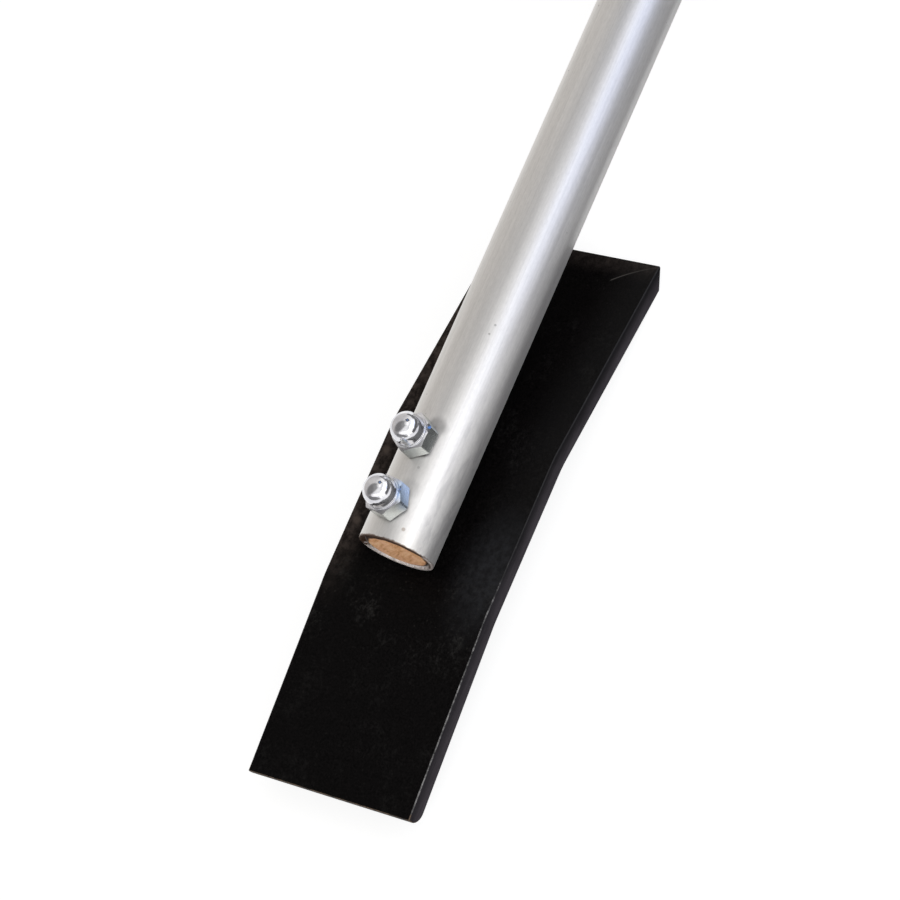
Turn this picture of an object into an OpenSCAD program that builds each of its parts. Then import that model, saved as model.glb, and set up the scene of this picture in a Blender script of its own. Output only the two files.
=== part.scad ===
// Roof snow rake: a bent scraper blade bolted to the foot of a telescopic pole.
// The rake lies on its back with the blade's ends down. The pole runs along +X from the blade to
// the grip, +Y runs across the blade and +Z points up through the cap nuts. All sizes are in
// millimetres. Places along the pole are measured from the open end of the head tube.

/* [Blade] */
// Width of the blade across the pole
blade_w = 71.4; // [40:0.1:200]
// Thickness of the blade
blade_t = 6.8; // [4:0.1:10]
// Straight length of the flat that reaches past the tube, along its slope
lower_flat = 72.6; // [40:0.1:150]
// Straight length of the flat under the bare tube, along its slope
upper_flat = 79.8; // [40:0.1:120]
// How far the level middle flat runs past the end of the tube
flat_past_tube = 8.1; // [2:0.1:20]
// How far the level middle flat runs past the head of the upper bolt
flat_past_bolt = 0.7; // [0.2:0.1:20]
// Slope of the lower flat away from the tube, in degrees
lower_slope = 4.6; // [2:0.1:12]
// Slope of the upper flat away from the tube, in degrees
upper_slope = 8.8; // [2:0.1:15]
// Radius of both bends, on the side of the tube
bend_r = 50; // [20:1:120]
// Thickness left square at the lower tip by the bevel on its back
lower_land = 2.2; // [0.5:0.1:3.5]
// Thickness left square at the upper tip by the bevel on its back
upper_land = 0.8; // [0.5:0.1:3.5]

/* [Tubes] */
// Outside diameter of the head tube
head_tube_d = 28; // [24:0.1:40]
// Wall of the head tube
head_tube_wall = 2; // [1:0.1:3]
// Wall of the middle tube
middle_tube_wall = 1.5; // [1:0.1:3]
// Wall of the handle tube
handle_tube_wall = 1.5; // [1:0.1:3]
// Room between one tube and the next, on the radius
tube_room = 1; // [0.8:0.1:2]
// Bare head tube below the lower lock with the pole pushed in
head_bare = 255; // [160:1:500]
// Bare middle tube between the locks with the pole pushed in
middle_bare = 70; // [10:1:200]
// Length of the handle tube
handle_tube_len = 900; // [600:1:1500]
// Length of tube that stays inside the next one with the pole pulled out
kept_overlap = 120; // [60:1:250]

/* [Bolts and core] */
// Diameter of the carriage bolts
bolt_d = 8; // [5:0.1:9]
// Distance from the end of the tube to the lower bolt
lower_bolt_x = 13.6; // [11:0.1:18]
// Distance between the two bolts
bolt_pitch = 24; // [21:0.1:30]
// Diameter of the bolts' domed heads
bolt_head_d = 18; // [14:0.1:20]
// Height of the bolts' domed heads
bolt_head_h = 4.6; // [3:0.1:6]
// How far the bolts' square necks stop short of the tube
neck_room = 2.4; // [0.5:0.1:3]
// Length of the wooden core in the tube's end
core_len = 75; // [55:1:150]
// How far the core is set in from the tube's end
core_inset = 0.4; // [0:0.1:3]
// Chamfer round the core's ends
core_chamfer = 1.1; // [0.3:0.1:3]

/* [Cap nuts] */
// Width of the cap nuts across their flats
nut_flats = 13.5; // [11:0.1:17]
// Height of the hexagon of a cap nut
nut_hex_h = 6.5; // [4:0.1:9]
// How far the dome of a cap nut is set in from the flats
dome_step = 0.45; // [0.1:0.05:1.5]
// Height of a cap nut over all
nut_h = 15; // [13:0.1:18]
// Thickness of the crown of a cap nut over its thread
nut_crown = 5; // [3:0.1:8]
// Turn of the lower nut about its bolt, in degrees
lower_nut_turn = 21; // [0:1:60]
// Turn of the upper nut about its bolt, in degrees
upper_nut_turn = 56; // [0:1:60]

/* [Locks] */
// Length of a twist collar
collar_len = 52; // [45:0.5:80]
// Wall of a twist collar outside its thread
collar_wall = 3.4; // [2:0.1:6]
// Thickness of the lip at a collar's mouth
collar_lip = 4.5; // [2:0.1:8]
// Length of a collar's tapered nose
collar_nose = 12; // [6:0.5:16]
// Number of ribs round a collar
rib_count = 18; // [8:1:24]
// Radius of a rib
rib_r = 1.7; // [0.8:0.1:2.4]
// Length of a collet
collet_len = 15; // [11:0.5:20]
// Wall of a collet at its thick end
collet_wall = 3.4; // [2.4:0.1:3.8]
// Wall of a collet at its thin end
collet_tip = 1.6; // [1:0.1:2.2]
// Length of a collet's taper
collet_taper = 8; // [4:0.5:10]
// Number of slits round a collet
slit_count = 4; // [2:1:8]
// Width of a slit
slit_w = 1.8; // [0.8:0.1:3]
// Uncut length of a collet behind its slits
slit_root = 4; // [2:0.5:6]
// Wall of a ferrule outside its tube
ferrule_wall = 2.5; // [1.5:0.1:5]
// Thickness of the lip in a ferrule that its tube butts against
ferrule_lip = 4; // [2:0.1:8]
// Length of the shoulder behind a collar
shoulder_len = 12; // [8:0.5:25]
// Diameter of the ferrule rivets
rivet_d = 3.2; // [2:0.1:5]
// Diameter of the rivets' heads
rivet_head_d = 6; // [5.2:0.1:8]
// Height of the rivets' heads
rivet_head_h = 1.3; // [0.5:0.1:2.4]

/* [Bushes] */
// Length of a bush inside the tube that it closes
bush_spigot = 20; // [8:0.5:40]
// Length of a bush past the end of that tube
bush_head = 14; // [6:0.5:30]
// Wall of a bush inside the tube
bush_wall = 3; // [1.5:0.1:6]
// Length of a stop ring
stop_ring_len = 20; // [6:0.5:40]

/* [Grip and cap] */
// Length of the grip
grip_len = 290; // [120:1:450]
// Wall of the grip
grip_wall = 3.8; // [2:0.1:8]
// Number of rings round the grip
grip_rings = 26; // [6:1:36]
// Depth of the grooves between the rings
grip_groove = 1.2; // [0.4:0.1:1.8]
// Width of a groove, as a share of a ring's pitch
groove_share = 0.3; // [0.15:0.05:0.6]
// Length of the cap inside the handle tube
cap_spigot = 25; // [10:0.5:60]
// Thickness of the cap's rim
cap_rim = 9; // [5:0.5:20]
// Rounding of the cap's rim
cap_round = 4; // [1:0.1:4]
// Radius of the hanging hole
eye_r = 5; // [2:0.1:8]
// Wall round the hanging hole
eye_wall = 7; // [3:0.1:10]
// Thickness of the tab that holds the hanging hole
eye_t = 9; // [4:0.1:16]

/* [Fits] */
// Room between parts that turn or pass each other
part_gap = 0.3; // [0.2:0.05:0.5]
// Running room of bushes, rings, collets and threads, on the radius
run_clear = 0.1; // [0.05:0.01:0.15]
// Room of a bolt in its holes, on the radius
hole_clear = 0.25; // [0.1:0.05:0.5]
// Room round the inner tube at a collar's mouth
mouth_clear = 0.8; // [0.5:0.1:1]
// Room between the nested bushes and what lies beyond them
end_room = 10; // [3:0.5:40]

/* [Hidden] */
$fn = 96;

// Overrun of a cutting shape past the face that it cuts
over = 1;
// Points along a bend or a rounding
arc_steps = 8;

// Radii of the tubes, from the head tube outwards
head_r = head_tube_d / 2;
head_bore_r = head_r - head_tube_wall;
middle_bore_r = head_r + tube_room;
middle_r = middle_bore_r + middle_tube_wall;
handle_bore_r = middle_r + tube_room;
handle_r = handle_bore_r + handle_tube_wall;

// Places along a lock, measured from the lower face of its collar
collet_at = collar_lip + part_gap;
ferrule_at = collet_at + collet_len;
seat_at = ferrule_at + ferrule_lip;
shoulder_at = collar_len + part_gap;
lock_len = shoulder_at + shoulder_len;

// Places along the pole
lower_lock_x = head_bare;
upper_lock_x = lower_lock_x + lock_len + middle_bare;
middle_tube_x = lower_lock_x + seat_at;
handle_tube_x = upper_lock_x + seat_at;
handle_end_x = handle_tube_x + handle_tube_len;
middle_end_x = handle_end_x - cap_spigot - end_room - bush_head;
head_end_x = middle_end_x - bush_spigot - end_room - bush_head;
eye_x = handle_end_x + cap_rim + eye_r;
pole_end_x = eye_x + eye_r + eye_wall;
upper_bolt_x = lower_bolt_x + bolt_pitch;

// Radii along a lock, from the radius of the inner tube or of the outer tube
function thread_r(outer_r) = outer_r + ferrule_wall;
function collar_r(outer_r) = thread_r(outer_r) + run_clear + collar_wall;

// Depth of the thread in a cap nut
nut_thread = nut_h - nut_crown;

// Side outline of the blade, in the plane of X and Z with the pole's axis at zero
blade_face_z = -head_r;
lower_bevel = blade_t - lower_land;
upper_bevel = blade_t - upper_land;
lower_bend_c = [-flat_past_tube, blade_face_z - bend_r];
upper_bend_c = [upper_bolt_x + bolt_head_d / 2 + flat_past_bolt, blade_face_z - bend_r];
lower_along = [cos(lower_slope), sin(lower_slope)];
lower_out = [-sin(lower_slope), cos(lower_slope)];
upper_along = [cos(upper_slope), -sin(upper_slope)];
upper_out = [sin(upper_slope), cos(upper_slope)];
lower_tip = lower_bend_c + bend_r * lower_out - lower_flat * lower_along;
upper_tip = upper_bend_c + bend_r * upper_out + upper_flat * upper_along;
function arc(c, r, from, to) =
    [for (i = [0 : arc_steps]) let (a = from + (to - from) * i / arc_steps) c + r * [cos(a), sin(a)]];

// Height of the pole's axis, so that the lowest piece rests at zero
upper_drop = blade_t * upper_out[1] - upper_tip[1] - upper_bevel * sin(upper_slope);
lower_drop = blade_t * lower_out[1] - lower_tip[1] - lower_bevel * sin(lower_slope);
bolt_drop = head_r + blade_t + bolt_head_h;
collar_drop = collar_r(handle_r) + rib_r;
axis_z = max(upper_drop, lower_drop, bolt_drop, collar_drop, handle_r + grip_wall);
// Shift along the pole, so that the middle of the rake's length is at zero
shift_x = -(lower_tip[0] + pole_end_x) / 2;

// Puts pieces drawn along the pole's axis in the frame of the rake
module on_pole() {
    translate([shift_x, 0, axis_z])
        children();
}

// Turns a piece drawn along Z to run along the pole from x
module along_pole(x) {
    translate([x, 0, 0])
        rotate([0, 90, 0])
            children();
}

// Tube along Z
module sleeve(outer, inner, length) {
    difference() {
        cylinder(r = outer, h = length);
        translate([0, 0, -over])
            cylinder(r = inner, h = length + 2 * over);
    }
}

// Round holes for both bolts, through everything above and below the pole's axis
module bolt_holes(radius, reach) {
    for (x = [lower_bolt_x, upper_bolt_x])
        translate([x, 0, -reach])
            cylinder(r = radius, h = 2 * reach);
}

module blade_outline() {
    face = concat([lower_tip],
        arc(lower_bend_c, bend_r, 90 + lower_slope, 90),
        arc(upper_bend_c, bend_r, 90, 90 - upper_slope),
        [upper_tip]);
    upper_end = [upper_tip - (blade_t - upper_bevel) * upper_out,
        upper_tip - blade_t * upper_out - upper_bevel * upper_along];
    back = concat(arc(upper_bend_c, bend_r - blade_t, 90 - upper_slope, 90),
        arc(lower_bend_c, bend_r - blade_t, 90, 90 + lower_slope));
    lower_end = [lower_tip - blade_t * lower_out + lower_bevel * lower_along,
        lower_tip - (blade_t - lower_bevel) * lower_out];
    polygon(concat(face, upper_end, back, lower_end));
}

module blade() {
    neck_hole = bolt_d + 2 * hole_clear;
    color([0.05, 0.045, 0.05])
        on_pole()
            difference() {
                rotate([90, 0, 0])
                    linear_extrude(blade_w, center = true)
                        blade_outline();
                for (x = [lower_bolt_x, upper_bolt_x])
                    translate([x, 0, blade_face_z - blade_t / 2])
                        cube([neck_hole, neck_hole, blade_t + 2 * over], center = true);
            }
}

module head_tube() {
    color([0.72, 0.72, 0.72])
        on_pole()
            difference() {
                along_pole(0)
                    sleeve(head_r, head_bore_r, head_end_x);
                bolt_holes(bolt_d / 2 + hole_clear, head_r + over);
            }
}

module wooden_core() {
    tip_r = head_bore_r - core_chamfer;
    color([0.80, 0.56, 0.36])
        on_pole()
            difference() {
                along_pole(core_inset)
                    rotate_extrude()
                        polygon([[0, 0], [tip_r, 0], [head_bore_r, core_chamfer],
                            [head_bore_r, core_len - core_chamfer], [tip_r, core_len], [0, core_len]]);
                bolt_holes(bolt_d / 2 + hole_clear, head_r + over);
            }
}

// Carriage bolt along Z, with its head under the blade and its thread in the nut
module carriage_bolt(x) {
    seat_z = blade_face_z - blade_t;
    head_r1 = bolt_head_d / 2;
    dome_r = (head_r1 * head_r1 + bolt_head_h * bolt_head_h) / (2 * bolt_head_h);
    shank_h = head_r + nut_thread - part_gap - seat_z;
    color([0.70, 0.70, 0.72])
        on_pole()
            translate([x, 0, seat_z]) {
                cylinder(d = bolt_d, h = shank_h);
                translate([-bolt_d / 2, -bolt_d / 2, 0])
                    cube([bolt_d, bolt_d, blade_t - neck_room]);
                intersection() {
                    translate([0, 0, dome_r - bolt_head_h])
                        sphere(r = dome_r);
                    translate([0, 0, -bolt_head_h - over])
                        cylinder(d = bolt_head_d, h = bolt_head_h + over);
                }
            }
}

module lower_bolt() {
    carriage_bolt(lower_bolt_x);
}

module upper_bolt() {
    carriage_bolt(upper_bolt_x);
}

// Cap nut along Z, seated on the crown of the tube
module cap_nut(x, turn) {
    corner_r = nut_flats / 2 / cos(30);
    wide_r = corner_r + over;
    dome_r = nut_flats / 2 - dome_step;
    chamfer_r = nut_flats / 2 - dome_step / 2;
    chamfer_h = (wide_r - chamfer_r) * tan(30);
    color([0.78, 0.79, 0.81])
        on_pole()
            translate([x, 0, head_r])
                difference() {
                    union() {
                        intersection() {
                            rotate([0, 0, turn])
                                cylinder(r = corner_r, h = nut_hex_h, $fn = 6);
                            rotate_extrude()
                                polygon([[0, 0], [wide_r, 0], [wide_r, nut_hex_h - chamfer_h],
                                    [chamfer_r, nut_hex_h], [0, nut_hex_h]]);
                        }
                        cylinder(r = dome_r, h = nut_h - dome_r);
                        translate([0, 0, nut_h - dome_r])
                            sphere(r = dome_r);
                    }
                    translate([0, 0, -over])
                        cylinder(d = bolt_d, h = nut_thread + over);
                }
}

module lower_cap_nut() {
    cap_nut(lower_bolt_x, lower_nut_turn);
}

module upper_cap_nut() {
    cap_nut(upper_bolt_x, upper_nut_turn);
}

// Bush that closes the inner end of a tube and runs in the next tube
module end_bush(x, bore_r, next_bore_r) {
    flange_r = next_bore_r - run_clear;
    color([0.16, 0.16, 0.17])
        on_pole()
            along_pole(x)
                difference() {
                    union() {
                        translate([0, 0, -bush_spigot])
                            cylinder(r = bore_r, h = bush_spigot + over);
                        cylinder(r = flange_r, h = bush_head);
                    }
                    translate([0, 0, -bush_spigot - over])
                        cylinder(r = bore_r - bush_wall, h = bush_spigot + bush_head + 2 * over);
                }
}

module head_end_bush() {
    end_bush(head_end_x, head_bore_r, middle_bore_r);
}

module middle_end_bush() {
    end_bush(middle_end_x, middle_bore_r, handle_bore_r);
}

// Ring on a tube that guides it in the next tube and meets the ferrule's lip when pulled out
module stop_ring(x, tube_r, next_bore_r) {
    color([0.16, 0.16, 0.17])
        on_pole()
            along_pole(x)
                sleeve(next_bore_r - run_clear, tube_r, stop_ring_len);
}

module head_stop_ring() {
    stop_ring(head_end_x - kept_overlap, head_r, middle_bore_r);
}

module middle_stop_ring() {
    stop_ring(middle_end_x - kept_overlap, middle_r, handle_bore_r);
}

// Holes for the rivets of a ferrule, on both sides of the pole, clear of the bore
module rivet_shanks(bore_r, reach) {
    difference() {
        translate([0, 0, shoulder_at + shoulder_len / 2])
            rotate([90, 0, 0])
                cylinder(d = rivet_d, h = 2 * reach, center = true);
        translate([0, 0, shoulder_at])
            cylinder(r = bore_r, h = shoulder_len);
    }
}

// Tube of the pole with the holes for its ferrule's rivets
module riveted_tube(x, lock_x, outer_r, bore_r, length) {
    color([0.72, 0.72, 0.72])
        on_pole()
            difference() {
                along_pole(x)
                    sleeve(outer_r, bore_r, length);
                along_pole(lock_x)
                    rivet_shanks(bore_r - over, outer_r + over);
            }
}

module middle_tube() {
    riveted_tube(middle_tube_x, lower_lock_x, middle_r, middle_bore_r, middle_end_x - middle_tube_x);
}

module handle_tube() {
    riveted_tube(handle_tube_x, upper_lock_x, handle_r, handle_bore_r, handle_tube_len);
}

// Ferrule on the mouth of a tube, with the thread for the collar and a shoulder behind it
module ferrule(lock_x, inner_r, outer_r) {
    lip_r = inner_r + part_gap;
    shoulder_r = collar_r(outer_r);
    color([0.12, 0.12, 0.13])
        on_pole()
            along_pole(lock_x)
                difference() {
                    rotate_extrude()
                        polygon([[lip_r, ferrule_at], [thread_r(outer_r), ferrule_at],
                            [thread_r(outer_r), shoulder_at], [shoulder_r, shoulder_at],
                            [shoulder_r, lock_len], [outer_r, lock_len],
                            [outer_r, seat_at], [lip_r, seat_at]]);
                    rivet_shanks(outer_r - over, shoulder_r + over);
                }
}

module lower_ferrule() {
    ferrule(lower_lock_x, head_r, middle_r);
}

module upper_ferrule() {
    ferrule(upper_lock_x, middle_r, handle_r);
}

// Rivets of a ferrule, with low domed heads on the shoulder
module ferrule_rivets(lock_x, outer_r, bore_r) {
    shoulder_r = collar_r(outer_r);
    head_r1 = rivet_head_d / 2;
    dome_r = (head_r1 * head_r1 + rivet_head_h * rivet_head_h) / (2 * rivet_head_h);
    color([0.68, 0.68, 0.70])
        on_pole()
            along_pole(lock_x) {
                rivet_shanks(bore_r, shoulder_r);
                for (side = [0, 180])
                    rotate([0, 0, side])
                        translate([0, shoulder_r, shoulder_at + shoulder_len / 2])
                            rotate([-90, 0, 0])
                                intersection() {
                                    translate([0, 0, rivet_head_h - dome_r])
                                        sphere(r = dome_r);
                                    cylinder(d = rivet_head_d, h = rivet_head_h + over);
                                }
            }
}

module lower_ferrule_rivets() {
    ferrule_rivets(lower_lock_x, middle_r, middle_bore_r);
}

module upper_ferrule_rivets() {
    ferrule_rivets(upper_lock_x, handle_r, handle_bore_r);
}

// Split collet that the collar's taper squeezes on the inner tube
module collet(lock_x, inner_r) {
    bore_r = inner_r + run_clear;
    color([0.85, 0.85, 0.82])
        on_pole()
            along_pole(lock_x + collet_at)
                difference() {
                    rotate_extrude()
                        polygon([[bore_r, 0], [inner_r + collet_tip, 0],
                            [inner_r + collet_wall, collet_taper], [inner_r + collet_wall, collet_len],
                            [bore_r, collet_len]]);
                    for (i = [0 : slit_count - 1])
                        rotate([0, 0, i * 360 / slit_count])
                            translate([0, -slit_w / 2, -over])
                                cube([inner_r + collet_wall + over, slit_w, collet_len - slit_root + over]);
                }
}

module lower_collet() {
    collet(lower_lock_x, head_r);
}

module upper_collet() {
    collet(upper_lock_x, middle_r);
}

// Twist collar: tapered nose, ribbed barrel, and a bore that clears the collet and the thread
module twist_collar(lock_x, inner_r, outer_r) {
    barrel_r = collar_r(outer_r);
    mouth_r = inner_r + mouth_clear;
    tip_r = inner_r + collet_tip + part_gap;
    cone_r = inner_r + collet_wall + part_gap;
    bore_r = thread_r(outer_r) + run_clear;
    edge = collar_wall / 3;
    rib_start = collar_nose + edge;
    rib_len = collar_len - rib_start - 2 * edge;
    color([0.10, 0.10, 0.11])
        on_pole()
            along_pole(lock_x)
                difference() {
                    union() {
                        rotate_extrude()
                            polygon([[0, 0], [mouth_r + collar_wall - edge, 0],
                                [mouth_r + collar_wall, edge], [barrel_r, collar_nose],
                                [barrel_r, collar_len - edge], [barrel_r - edge, collar_len],
                                [0, collar_len]]);
                        for (i = [0 : rib_count - 1])
                            rotate([0, 0, i * 360 / rib_count])
                                translate([barrel_r, 0, rib_start])
                                    cylinder(r = rib_r, h = rib_len, $fn = 24);
                    }
                    rotate_extrude()
                        polygon([[0, -over], [mouth_r, -over], [mouth_r, collar_lip], [tip_r, collar_lip],
                            [cone_r, collet_at + collet_taper - part_gap],
                            [cone_r, ferrule_at - part_gap], [bore_r, ferrule_at - part_gap],
                            [bore_r, collar_len + over], [0, collar_len + over]]);
                }
}

module lower_twist_collar() {
    twist_collar(lower_lock_x, head_r, middle_r);
}

module upper_twist_collar() {
    twist_collar(upper_lock_x, middle_r, handle_r);
}

// Grip with rings along its length, and plain cuffs at both ends
module grip() {
    grip_r = handle_r + grip_wall;
    pitch = grip_len / (grip_rings + 2);
    groove = pitch * groove_share;
    color([0.09, 0.09, 0.09])
        on_pole()
            along_pole(handle_end_x - grip_len)
                difference() {
                    sleeve(grip_r, handle_r, grip_len);
                    for (i = [1 : grip_rings + 1])
                        translate([0, 0, i * pitch - groove / 2])
                            sleeve(grip_r + over, grip_r - grip_groove, groove);
                }
}

// End cap: spigot in the tube, rounded rim over the tube and the grip, and a tab with the hanging hole
module end_cap() {
    rim_r = handle_r + grip_wall;
    tab_r = eye_r + eye_wall;
    color([0.10, 0.10, 0.11])
        on_pole()
            translate([handle_end_x, 0, 0])
                difference() {
                    union() {
                        rotate([0, 90, 0])
                            rotate_extrude()
                                polygon(concat([[0, -cap_spigot], [handle_bore_r, -cap_spigot],
                                    [handle_bore_r, 0], [rim_r, 0]],
                                    arc([rim_r - cap_round, cap_rim - cap_round], cap_round, 0, 90),
                                    [[0, cap_rim]]));
                        translate([0, -tab_r, -eye_t / 2])
                            cube([eye_x - handle_end_x, 2 * tab_r, eye_t]);
                        translate([eye_x - handle_end_x, 0, -eye_t / 2])
                            cylinder(r = tab_r, h = eye_t);
                    }
                    translate([eye_x - handle_end_x, 0, -eye_t / 2 - over])
                        cylinder(r = eye_r, h = eye_t + 2 * over);
                }
}

blade();
head_tube();
wooden_core();
lower_bolt();
upper_bolt();
lower_cap_nut();
upper_cap_nut();
head_end_bush();
head_stop_ring();
middle_tube();
lower_ferrule();
lower_ferrule_rivets();
lower_collet();
lower_twist_collar();
middle_end_bush();
middle_stop_ring();
handle_tube();
upper_ferrule();
upper_ferrule_rivets();
upper_collet();
upper_twist_collar();
grip();
end_cap();
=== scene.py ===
import math

import bmesh
import bpy
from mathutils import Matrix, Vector


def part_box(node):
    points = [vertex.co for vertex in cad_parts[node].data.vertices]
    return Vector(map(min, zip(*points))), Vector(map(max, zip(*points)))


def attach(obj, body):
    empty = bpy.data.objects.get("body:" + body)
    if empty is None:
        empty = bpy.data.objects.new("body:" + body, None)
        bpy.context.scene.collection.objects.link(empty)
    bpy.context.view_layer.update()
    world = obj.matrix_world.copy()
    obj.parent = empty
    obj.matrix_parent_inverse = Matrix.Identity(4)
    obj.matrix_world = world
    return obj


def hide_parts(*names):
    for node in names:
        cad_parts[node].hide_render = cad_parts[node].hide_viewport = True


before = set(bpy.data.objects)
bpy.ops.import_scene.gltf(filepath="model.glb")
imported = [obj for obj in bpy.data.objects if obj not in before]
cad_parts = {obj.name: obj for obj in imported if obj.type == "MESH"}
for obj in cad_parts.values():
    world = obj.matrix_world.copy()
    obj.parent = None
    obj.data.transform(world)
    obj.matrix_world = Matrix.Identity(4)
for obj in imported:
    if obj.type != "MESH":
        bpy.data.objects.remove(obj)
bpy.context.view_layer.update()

# Roof snow rake. Sizes are in metres, written in millimetres times MM, in the frame of the rake:
# +X along the pole from the blade to the grip, +Y across the blade, +Z up through the cap nuts.
MM = 0.001


def half_height(node):
    """Half the height of a node's box, which is its outer radius where it is round."""
    low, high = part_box(node)
    return (high.z - low.z) / 2


def middle_x(node):
    """Middle of a node's box along the pole."""
    low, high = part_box(node)
    return (low.x + high.x) / 2


# Places taken from the frame
tube_low, tube_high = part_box("head_tube")
TUBE_END = tube_low.x
AXIS_Z = (tube_low.z + tube_high.z) / 2
HEAD_R = half_height("head_tube")
ON_AXIS = Vector((TUBE_END, 0, AXIS_Z))
LOWER_BOLT_X = middle_x("lower_bolt")
UPPER_BOLT_X = middle_x("upper_bolt")
BOLT_XS = (LOWER_BOLT_X, UPPER_BOLT_X)
FACE_Z = AXIS_Z - HEAD_R
blade_low, blade_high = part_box("blade")
HALF_BLADE = (blade_high.y - blade_low.y) / 2
X_AXIS = Vector((1, 0, 0))
Y_AXIS = Vector((0, 1, 0))
Z_AXIS = Vector((0, 0, 1))

# Blade
LOWER_FLAT = 72.6 * MM
UPPER_FLAT = 79.8 * MM
FLAT_PAST_TUBE = 8.1 * MM
FLAT_PAST_BOLT = 0.7 * MM
BLADE_T = 6.8 * MM
LOWER_SLOPE = math.radians(4.6)
UPPER_SLOPE = math.radians(8.8)
BEND_R = 50 * MM
BEND_STEPS = 8
LOWER_LAND = 2.2 * MM
UPPER_LAND = 0.8 * MM
BLADE_EDGE = 0.35 * MM
BLADE_EDGE_ANGLE = math.radians(30)
BLADE_SMOOTH = math.radians(50)
LOWER_EASE_STEPS = 6
UPPER_EASE_STEPS = 1
BACK_EDGE_REACH = 1 * MM
NECK_HOLE = 8.5 * MM

# Tubes and what is in the head tube's end
HEAD_WALL = 2 * MM
OUTER_WALL = 1.5 * MM
RIM_ROUND = 0.3 * MM
BORE_EASE = 0.8 * MM
CORE_CHAMFER = 1.1 * MM
CORE_ROUND = 0.4 * MM
CORE_R = 12 * MM
BOLT_R = 4 * MM
BOLT_HOLE_R = 4.25 * MM
BOLT_TIP = 1 * MM
BOLT_HEAD_H = 4.6 * MM
BOLT_HEAD_D = 18 * MM
BOLT_HEAD_LAND = 0.4 * MM
BOLT_HEAD_ROUND = 0.2 * MM
BOLT_DOME_STEPS = 10
NECK_ROOM = 2.4 * MM
NECK_SINK = 0.2 * MM
NECK_EDGE = 0.4 * MM
HOLE_MARGIN = 6 * MM

# Cap nuts
NUT_FLATS = 13.5 * MM
NUT_HEX_H = 6.5 * MM
NUT_H = 15 * MM
NUT_CROWN = 5 * MM
DOME_STEP = 0.45 * MM
RING_STEP = 0.45 * MM
RING_H = 0.8 * MM
RING_ROUND = 0.38 * MM
RING_FOOT = 0.2 * MM
NUT_CORNER = 0.45 * MM
NUT_SEAT_EDGE = 0.35 * MM
NUT_SHOULDER_ROUND = 0.15 * MM
NUT_DOME_STEPS = 16
NUT_CHAMFER = math.radians(30)
NUT_SMOOTH = math.radians(25)
HALF_HEX = math.radians(30)
LOWER_NUT_TURN = math.radians(21)
UPPER_NUT_TURN = math.radians(56)

# Locks
COLLAR_WALL = 3.4 * MM
COLLAR_LIP = 4.5 * MM
COLLAR_NOSE = 12 * MM
COLLAR_MOUTH_ROUND = 0.5 * MM
COLLAR_BORE_ROUND = 0.4 * MM
COLLAR_NOSE_ROUND = 3 * MM
RIB_COUNT = 18
RIB_R = 1.7 * MM
RIB_END = 1.3 * MM
COLLET_LEN = 15 * MM
COLLET_TAPER = 8 * MM
COLLET_WALL = 3.4 * MM
COLLET_TIP = 1.6 * MM
FERRULE_WALL = 2.5 * MM
FERRULE_LIP = 4 * MM
FERRULE_LIP_ROUND = 0.4 * MM
FERRULE_TIP_ROUND = 0.6 * MM
SHOULDER_FRONT_ROUND = 0.9 * MM
SHOULDER_BACK_ROUND = 2.2 * MM
MOUTH_CLEAR = 0.8 * MM
PART_GAP = 0.3 * MM
RUN_CLEAR = 0.1 * MM
RIVET_R = 1.6 * MM
RIVET_HEAD_R = 3 * MM
RIVET_HEAD_H = 1.3 * MM
RIVET_DOME_STEPS = 8

# Grip and cap
GRIP_RINGS = 26
GRIP_GROOVE = 1.2 * MM
GROOVE_SHARE = 0.3
GROOVE_ROUND = 0.25 * MM
GRIP_RING_ROUND = 0.9 * MM
GRIP_FRONT_ROUND = 1.8 * MM
GRIP_BACK_ROUND = 0.6 * MM
CAP_RIM = 9 * MM
CAP_ROUND = 4 * MM
CAP_FRONT_ROUND = 0.6 * MM
CAP_SPIGOT = 25 * MM
SPIGOT_ROUND = 1 * MM
EYE_R = 5 * MM
EYE_WALL = 7 * MM
EYE_T = 9 * MM
TAB_EDGE = 1.4 * MM
TAB_EDGE_ANGLE = math.radians(50)

# Where the blade's bends begin
LOWER_BEND_X = TUBE_END - FLAT_PAST_TUBE
UPPER_BEND_X = UPPER_BOLT_X + BOLT_HEAD_D / 2 + FLAT_PAST_BOLT

# How finely the pieces are made
SIDES = 128
HOLE_SIDES = 64
RIVET_SIDES = 48
RIB_SIDES = 24
GRIP_SIDES = 72
TAB_SIDES = 96
SMOOTH_ANGLE = math.radians(35)
QUARTER_TURN = math.radians(90)
TOUCHING = 0.01 * MM
MERGE_REACH = 0.002 * MM

# How far drills and other cutting shapes reach past a piece
DRILL_PAST = 2 * MM
TOOL_PAST = 1 * MM

# Shares of a face's normal along an axis, by which faces are picked or get their own finish
FACING = 0.99
RIM_FACING = 0.4
SEAT_FACING = -0.3
FLAT_FACING = 0.1

# Places of marks and wear on the tube, its rim, the wood and the nuts, and of the shade and reflection
# painted on them. A pair says where a mark starts and where it is full.
RUBBED_END = (TUBE_END + 90 * MM, TUBE_END)
STAINED_LENGTH = (TUBE_END + 70 * MM, TUBE_END + 35 * MM)
STAINED_FLANK = (-10.3 * MM, -12.3 * MM)
# Painted shade on the tube by each nut: its offset along and across, its size, and its weight at each nut
NUT_SHADE_ALONG = 6 * MM
NUT_SHADE_ACROSS = -3.9 * MM
NUT_SHADE_SIZE = (4.6 * MM, 2 * MM)
NUT_SHADE_WEIGHTS = (0.7, 1.6)
CHIPPED_END = (TUBE_END - 0.48 * MM, TUBE_END - 1.14 * MM)
CHIP_DEPTH = -2.4 * MM
BROWN_MARK = (TUBE_END + 5.5 * MM, -7.6 * MM, AXIS_Z + 11.7 * MM)
BROWN_MARK_SIZE = (0.9 * MM, 0.4 * MM)
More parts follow.
